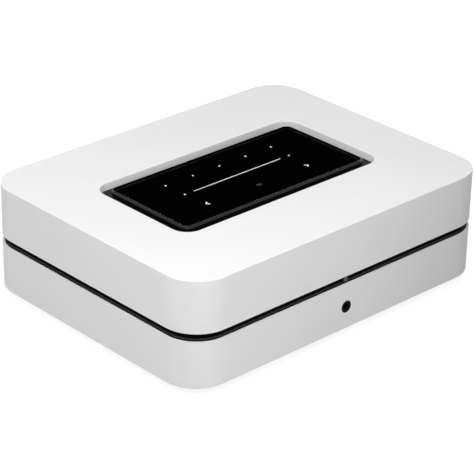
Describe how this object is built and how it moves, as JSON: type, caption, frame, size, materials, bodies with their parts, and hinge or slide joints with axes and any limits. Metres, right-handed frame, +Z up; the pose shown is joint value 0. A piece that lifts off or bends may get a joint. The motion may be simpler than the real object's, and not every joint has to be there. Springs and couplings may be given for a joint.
{
  "type": "network music streamer",
  "caption": "Half-width network music streamer in satin white with a black glass touch panel in its top, front headphone socket and rear speaker terminals.",
  "frame": {"origin": "under the middle of the whole outline, on the plane that the feet rest on", "axes": "+X to the right seen from the front, +Y to the back, +Z up"},
  "size_m": [0.22, 0.19, 0.068],
  "materials": {
    "shell_paint": "satin white paint, very fine orange-peel",
    "frame_black": "fine matte black moulding",
    "panel_black": "fine-grained matte black paint",
    "foot_rubber": "dull black rubber",
    "screw_steel": "plain zinc-plated steel",
    "screw_black": "black oxide steel",
    "tray_black": "satin black moulding",
    "cover_glass": "polished clear cover glass with a ground bevel, over a black print",
    "mask_black": "black print",
    "guide_white": "milky light guide",
    "sensor_grey": "dim smoky window",
    "board_green": "green solder mask",
    "cable_film": "amber polyimide film",
    "socket_plastic": "black glass-filled moulding",
    "ir_lens": "polished dark infrared lens",
    "chip_black": "moulded black epoxy",
    "shield_tin": "tinned sheet steel",
    "antenna_plastic": "ivory antenna board",
    "core_black": "dark ferrite and tape",
    "capacitor_sleeve": "shrunk sleeve",
    "sink_aluminium": "plain extruded aluminium",
    "pin_steel": "bright nickel plate",
    "contact_gold": "gold-plated brass",
    "lug_copper": "tinned copper strip",
    "sub_plastic": "white insulator",
    "block_plastic": "fine matte black moulding",
    "knob_black": "clear-capped black knob",
    "knob_red": "clear-capped red knob"
  },
  "bodies": {
    "case": {"upper_shell": "shell_paint", "lower_shell": "shell_paint", "mid_frame": "frame_black", "rear_panel": "panel_black", "foot_front_left": "foot_rubber", "foot_back_left": "foot_rubber", "foot_front_right": "foot_rubber", "foot_back_right": "foot_rubber", "case_screws": "screw_steel", "board_screws": "screw_steel", "tray_screws": "screw_steel", "panel_screws": "screw_black", "panel_tray": "tray_black", "touch_glass": "cover_glass", "icon_mask": "mask_black", "light_guide": "guide_white", "sensor_window": "sensor_grey", "touch_board": "board_green", "touch_cable": "cable_film", "headphone_jack": "socket_plastic", "headphone_board": "board_green", "ir_window": "ir_lens", "ir_receiver": "chip_black", "main_board": "board_green", "processor_shield": "shield_tin", "radio_module": "shield_tin", "main_chips": "chip_black", "antennas": "antenna_plastic", "power_board": "board_green", "transformer": "core_black", "bulk_capacitors": "capacitor_sleeve", "line_choke": "core_black", "amplifier_chips": "chip_black", "heat_sink": "sink_aluminium", "board_link": "socket_plastic", "mains_inlet": "socket_plastic", "mains_pins": "pin_steel", "ethernet_socket": "shield_tin", "ethernet_insert": "socket_plastic", "usb_socket": "shield_tin", "usb_tongue": "socket_plastic", "hdmi_socket": "shield_tin", "hdmi_tongue": "socket_plastic", "line_in_jack": "socket_plastic", "infrared_in_jack": "socket_plastic", "trigger_out_jack": "socket_plastic", "sub_out_sleeve": "contact_gold", "sub_out_insulator": "sub_plastic", "terminal_block": "block_plastic", "terminal_posts": "contact_gold", "terminal_nuts": "pin_steel", "terminal_lugs": "lug_copper"},
    "washer_1": {"clamp_washer_1": "contact_gold"},
    "knob_1": {"terminal_knob_1": "knob_black"},
    "washer_2": {"clamp_washer_2": "contact_gold"},
    "knob_2": {"terminal_knob_2": "knob_red"},
    "washer_3": {"clamp_washer_3": "contact_gold"},
    "knob_3": {"terminal_knob_3": "knob_black"},
    "washer_4": {"clamp_washer_4": "contact_gold"},
    "knob_4": {"terminal_knob_4": "knob_red"}
  },
  "joints": [
    {"name": "washer_slide_1", "type": "slide", "parent": "case", "child": "washer_1", "axis": [0, 1, 0], "range_m": [0, 0.0045]},
    {"name": "knob_turn_1", "type": "hinge", "parent": "washer_1", "child": "knob_1", "pos_m": [-0.062, 0.08755, 0.0235], "axis": [0, 1, 0], "range_deg": [0, 1620]},
    {"name": "washer_slide_2", "type": "slide", "parent": "case", "child": "washer_2", "axis": [0, 1, 0], "range_m": [0, 0.0045]},
    {"name": "knob_turn_2", "type": "hinge", "parent": "washer_2", "child": "knob_2", "pos_m": [-0.043, 0.08755, 0.0235], "axis": [0, 1, 0], "range_deg": [0, 1620]},
    {"name": "washer_slide_3", "type": "slide", "parent": "case", "child": "washer_3", "axis": [0, 1, 0], "range_m": [0, 0.0045]},
    {"name": "knob_turn_3", "type": "hinge", "parent": "washer_3", "child": "knob_3", "pos_m": [-0.024, 0.08755, 0.0235], "axis": [0, 1, 0], "range_deg": [0, 1620]},
    {"name": "washer_slide_4", "type": "slide", "parent": "case", "child": "washer_4", "axis": [0, 1, 0], "range_m": [0, 0.0045]},
    {"name": "knob_turn_4", "type": "hinge", "parent": "washer_4", "child": "knob_4", "pos_m": [-0.005, 0.08755, 0.0235], "axis": [0, 1, 0], "range_deg": [0, 1620]}
  ],
  "couplings": [
    {"joint": "knob_turn_1", "follows": "washer_slide_1", "rad_per_m": 6283.2},
    {"joint": "knob_turn_2", "follows": "washer_slide_2", "rad_per_m": 6283.2},
    {"joint": "knob_turn_3", "follows": "washer_slide_3", "rad_per_m": 6283.2},
    {"joint": "knob_turn_4", "follows": "washer_slide_4", "rad_per_m": 6283.2}
  ]
}
